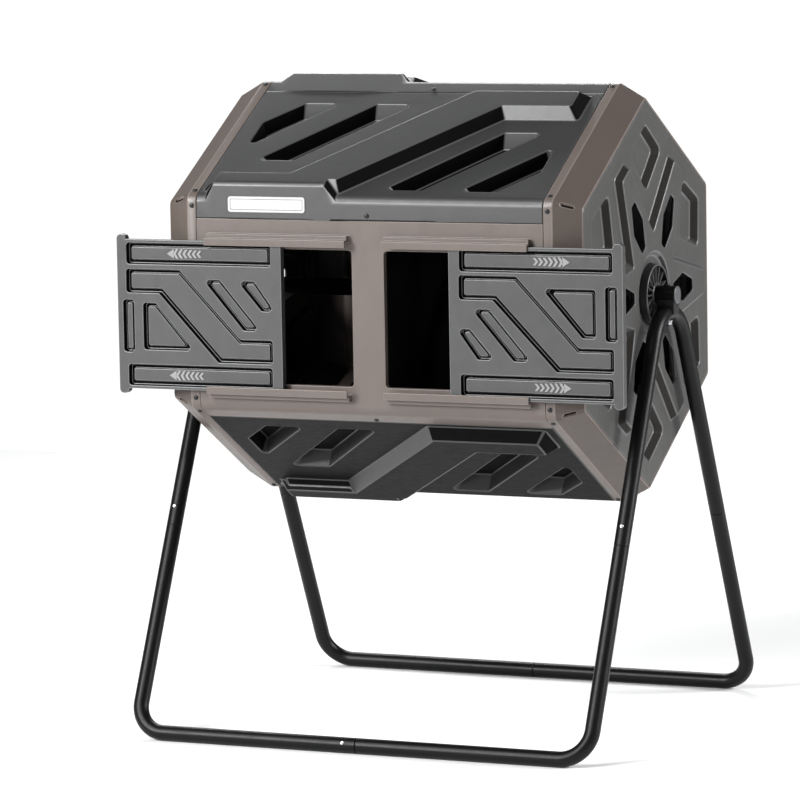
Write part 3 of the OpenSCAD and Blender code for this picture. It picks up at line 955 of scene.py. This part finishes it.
def lower_tube(name, rail_plug):
    origin = Vector((-LEG_X, -RAIL_Y, TUBE_R))
    along = Vector((1, 0, 0))
    leg = JOINT_H / math.cos(LEG_A) - 0.2
    rail = LEG_X - 0.6
    path = [origin + UP * leg, origin + UP * (leg - 60), origin + UP * (leg - 160)]
    for k in range(25):
        a = math.radians(90 * k / 24)
        out, up = BEND_R * (1 - math.sin(math.pi / 2 - a)), BEND_R * (1 - math.sin(a))
        path.append(origin + along * out + UP * up)
    path += [origin + along * d for d in (BEND_R + 100, rail - 60, rail)]
    shape = Shape()
    sweep(shape, path, TUBE_R, BORE_R)
    for way, end in ((UP, leg), (along, rail))[: 2 if rail_plug else 1]:
        ends = [origin + way * (end - PLUG_IN), origin + way * (end + PLUG_OUT)]
        sweep(shape, ends, PLUG_R, PLUG_BORE)
    return smooth(build(name, shape, [mat["coat"]]))


def apex_tube(name):
    foot = Vector((LEG_X, -(CROSS_H - JOINT_H) * math.tan(LEG_A), TUBE_R + JOINT_H))
    centre = Vector((LEG_X, 0, APEX_Z - APEX_R))
    start = centre + Vector((0, -math.cos(LEG_A), math.sin(LEG_A))) * APEX_R
    path = [foot, foot.lerp(start, 0.3), foot.lerp(start, 0.7)]
    half = math.pi / 2 - LEG_A
    for k in range(41):
        a = -half + 2 * half * k / 40
        path.append(centre + Vector((0, math.sin(a), math.cos(a))) * APEX_R)
    other = [Vector((p.x, -p.y, p.z)) for p in path[:3]][::-1]
    return smooth(build(name, sweep(Shape(), path + other, TUBE_R, BORE_R, 48), [mat["coat"]]))


for node, plug, fx, fy in (
    ("front_left_tube", False, 1, 1),
    ("front_right_tube", True, -1, 1),
    ("back_left_tube", False, 1, -1),
    ("back_right_tube", True, -1, -1),
):
    o = lower_tube(node + "_detail", plug)
    reflect(o, fx, fy)
    put(o, "stand", "black_powder_coat", node)
for node, fx in (("left_upper_tube", -1), ("right_upper_tube", 1)):
    o = apex_tube(node + "_detail")
    reflect(o, fx)
    put(o, "stand", "black_powder_coat", node)


def axle():
    half = axle_hi.x / MM
    shape = Shape().lathe(
        [(-half, AXLE_R - 0.7), (-half + 0.7, AXLE_R), (half - 0.7, AXLE_R), (half, AXLE_R - 0.7),
         (half, AXLE_R - 2), (-half, AXLE_R - 2)], 56
    )
    o = build("axle_tube_detail", shape, [mat["coat"]])
    to_axis(o)
    return smooth(o)


put(axle(), "stand", "black_powder_coat", "axle_tube")

for node, sx in (("left_axle_cap", -1), ("right_axle_cap", 1)):
    x = axle_hi.x / MM
    shape = Shape().lathe(
        [(x - 8, 0.01), (x - 8, AXLE_R - 2.2), (x + 0.05, AXLE_R - 2.2), (x + 0.05, AXLE_R - 0.3),
         (x + 1.1, AXLE_R - 0.1), (x + 1.7, AXLE_R - 0.8), (x + 1.95, AXLE_R - 2), (x + 1.95, 0.01)], 56
    )
    o = build(node + "_detail", shape, [mat["cap"]])
    reflect(o, sx)
    to_axis(o)
    put(smooth(o), "stand", "grey_cap", node)


# ---------- small parts ----------


def disc(shape, at, out, profile, seg=20):
    """A closed (r, h) profile turned about the direction out."""
    out = Vector(out).normalized()
    side = out.orthogonal().normalized()
    third = out.cross(side)
    rings = []
    for a in turns(seg):
        d = side * math.cos(a) + third * math.sin(a)
        rings.append([Vector(at) + d * r + out * h for r, h in profile])
    return shape.loft(rings, closed=True)


PAN = [
    (0.01, -2.0), (1.8, -2.0), (1.8, 0.05), (3.5, 0.05), (3.6, 0.5),
    (3.3, 1.3), (2.5, 1.85), (1.5, 2.0), (0.01, 2.0),
]


def screws(name, places):
    """Pan-head screws with crossed recesses, at (point, outward direction) each."""
    shape, cross = Shape(), Shape()
    for at, out in places:
        disc(shape, at, out, PAN)
        out = Vector(out).normalized()
        side = Vector((1, 0, 0)) if abs(out.x) < 0.9 else Vector((0, 1, 0))
        third = out.cross(side)
        for a, b in ((side, third), (third, side)):
            rings = []
            for h, k in ((0.9, 0.25), (2.4, 0.35)):
                corners = rect(-1, 1, -1, 1)
                rings.append([Vector(at) + a * s * 1.6 + b * t * k + out * h for s, t in corners])
            cross.loft(rings)
    obj = build(name, shape, [mat["dark_steel"]])
    boolean(obj, cross, "DIFFERENCE", [mat["dark_steel"]], True)
    return smooth(obj, 40)


def on_face(th, u, v, w=0.0):
    m = face_matrix(th)
    at = m @ (Vector((u, v, w)) * MM)
    return at / MM, m.to_3x3() @ Vector((0, 0, 1))


put(
    screws("lip_screws_detail", [on_face(th, 0, LIP_V + 7) for th in range(0, 360, 60)]),
    "barrel", "dark_steel", "lip_screws",
)
for node, sx in (("left_ring_screws", -1), ("right_ring_screws", 1)):
    spots = [on_face(th, sx * 282, v) for th in range(0, 360, 60) for v in (-142, 142)]
    put(screws(node + "_detail", spots), "barrel", "dark_steel", node)


def buttons():
    shape = Shape()
    dome = [
        (0.01, 4), (4.4, 4), (4.4, 7), (3, 7),
        (3, 12.0), (2.75, 12.6), (2.1, 12.95), (0.01, 13.0),
    ]
    for sx in (-1, 1):
        for s in (-1, 1):
            at = Vector((sx * LEG_X, s * (CROSS_H - JOINT_H) * math.tan(LEG_A), TUBE_R + JOINT_H))
            up = Vector((0, -s * math.sin(LEG_A), math.cos(LEG_A)))
            out = Vector((0, s * math.cos(LEG_A), math.sin(LEG_A)))
            disc(shape, at + up * 28.8, out, dome, 24)
    for s in (-1, 1):
        out = Vector((0, s * math.cos(LEG_A), math.sin(LEG_A)))
        disc(shape, (-20, s * RAIL_Y, TUBE_R), out, dome, 24)
    return smooth(build("spring_buttons_detail", shape, [mat["bright_steel"]]), 40)


put(buttons(), "stand", "dark_steel", "spring_buttons")


def bolts():
    shape = Shape()
    head = AXIS + AXLE_R + 0.1
    low = APEX_Z - TUBE_R - 9
    for sx in (-1, 1):
        disc(
            shape, (sx * LEG_X, 0, head), (0, 0, 1),
            [(0.01, low - head), (2.6, low - head), (3, low - head + 0.5), (3, 0), (5.5, 0),
             (5.5, 0.4), (5.0, 1.2), (3.8, 1.8), (2, 2), (0.01, 2)], 28,
        )
    return smooth(build("axle_bolts_detail", shape, [mat["dark_steel"]]), 40)


put(bolts(), "stand", "dark_steel", "axle_bolts")

# These parts of the CAD are shown themselves, with their edges rounded.
for node, key, slot, width in (
    ("left_saddle", "moulding", "black_moulding", 1.0),
    ("right_saddle", "moulding", "black_moulding", 1.0),
    ("axle_nuts", "bright_steel", "zinc_steel", 0.3),
    # The divider inside the barrel takes the near-black painted shade.
    ("divider_panel", "charcoal_painted_shade", "black_moulding", 0.4),
):
    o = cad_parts[node]
    o.data.materials.clear()
    o.data.materials.append(mat[key])
    b = o.modifiers.new("round", "BEVEL")
    b.width = width * MM * 0.5
    b.segments = 2
    b.limit_method = "ANGLE"
    b.angle_limit = math.radians(40)


# ---------- stage, light and camera ----------


def stage_floor():
    mesh = bpy.data.meshes.new("floor")
    mesh.from_pydata([(-4, -4, 0), (4, -4, 0), (4, 2.6, 0), (-4, 2.6, 0)], [], [(0, 1, 2, 3)])
    o = link("floor", mesh)
    m = bpy.data.materials.new("pale_floor")
    m.use_nodes = True
    b = m.node_tree.nodes["Principled BSDF"]
    b.inputs["Base Color"].default_value = (0.93, 0.93, 0.93, 1)
    b.inputs["Roughness"].default_value = 0.9
    b.inputs["Specular IOR Level"].default_value = 0.1
    mesh.materials.append(m)


stage_floor()

world = bpy.data.worlds.new("studio")
bpy.context.scene.world = world
world.use_nodes = True
nt = world.node_tree
nt.nodes.clear()
w_out = nt.nodes.new("ShaderNodeOutputWorld")
soft = nt.nodes.new("ShaderNodeBackground")
soft.inputs[0].default_value = (0.95, 0.97, 1.0, 1)
soft.inputs[1].default_value = 0.2
white = nt.nodes.new("ShaderNodeBackground")
white.inputs[0].default_value = (1, 1, 1, 1)
white.inputs[1].default_value = 1.05
path = nt.nodes.new("ShaderNodeLightPath")
mix = nt.nodes.new("ShaderNodeMixShader")
nt.links.new(path.outputs["Is Camera Ray"], mix.inputs[0])
nt.links.new(soft.outputs[0], mix.inputs[1])
nt.links.new(white.outputs[0], mix.inputs[2])
nt.links.new(mix.outputs[0], w_out.inputs[0])


MIDDLE = Vector((0, 0, 0.6))


def area(name, at, size, power):
    """A soft light that points at the object's middle."""
    light = bpy.data.lights.new(name, "AREA")
    light.shape = "RECTANGLE"
    light.size, light.size_y = size
    light.energy = power
    o = link(name, light)
    o.location = at
    o.rotation_mode = "QUATERNION"
    o.rotation_quaternion = (MIDDLE - Vector(at)).to_track_quat("-Z", "Y")


area("key", (-2.6, -4.4, 2.4), (1.6, 1.6), 300)
area("side", (4.2, 1.2, 2.2), (1.2, 2.0), 210)
area("back", (-1.5, 3.2, 3.0), (2.4, 0.8), 80)
area("top", (-1.2, -3.2, 3.6), (2.6, 0.3), 110)

scene = bpy.context.scene
scene.view_settings.view_transform = "Standard"
scene.view_settings.look = "None"

LENS, ROLL = 217.5, math.radians(-1.01)
EYE, TARGET = Vector((2.8996, -6.5999, 1.3267)), Vector((-0.0047, -0.1539, 0.4956))
cam = bpy.data.cameras.new("camera")
cam.sensor_width = 36
cam.lens = LENS
cam.clip_start, cam.clip_end = 0.1, 60
cam_obj = link("camera", cam)
cam_obj.location = EYE
look = (TARGET - EYE).to_track_quat("-Z", "Y").to_matrix().to_4x4()
cam_obj.rotation_mode = "QUATERNION"
cam_obj.rotation_quaternion = (look @ Matrix.Rotation(ROLL, 4, "Z")).to_quaternion()
scene.camera = cam_obj

bpy.context.view_layer.update()
